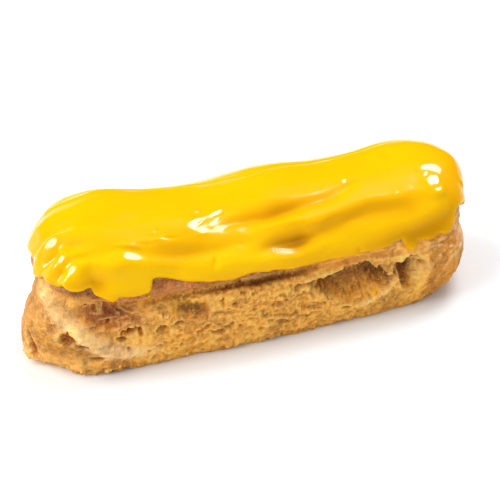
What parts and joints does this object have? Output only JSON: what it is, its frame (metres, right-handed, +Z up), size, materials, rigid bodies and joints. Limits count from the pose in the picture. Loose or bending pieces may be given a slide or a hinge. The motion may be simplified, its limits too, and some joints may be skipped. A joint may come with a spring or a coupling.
{
  "type": "eclair",
  "caption": "Long choux pastry baked golden brown, with burst bubbles and folds in its side, covered over its top by a thick coat of glossy yellow icing with a lobed edge.",
  "frame": {"origin": "centre of the bounding box in plan, on the surface the eclair rests on", "axes": "+X along the length towards the higher, rounder icing end with the smooth browned lobe, -Y the front with the long cave, +Z up"},
  "size_m": [0.1362, 0.0458, 0.0423],
  "materials": {
    "choux": "baked choux crust, golden brown, satin where it is smooth",
    "icing": "opaque glossy yellow icing"
  },
  "bodies": {
    "root": {"choux_shell": "choux", "yellow_icing": "icing"}
  },
  "joints": []
}
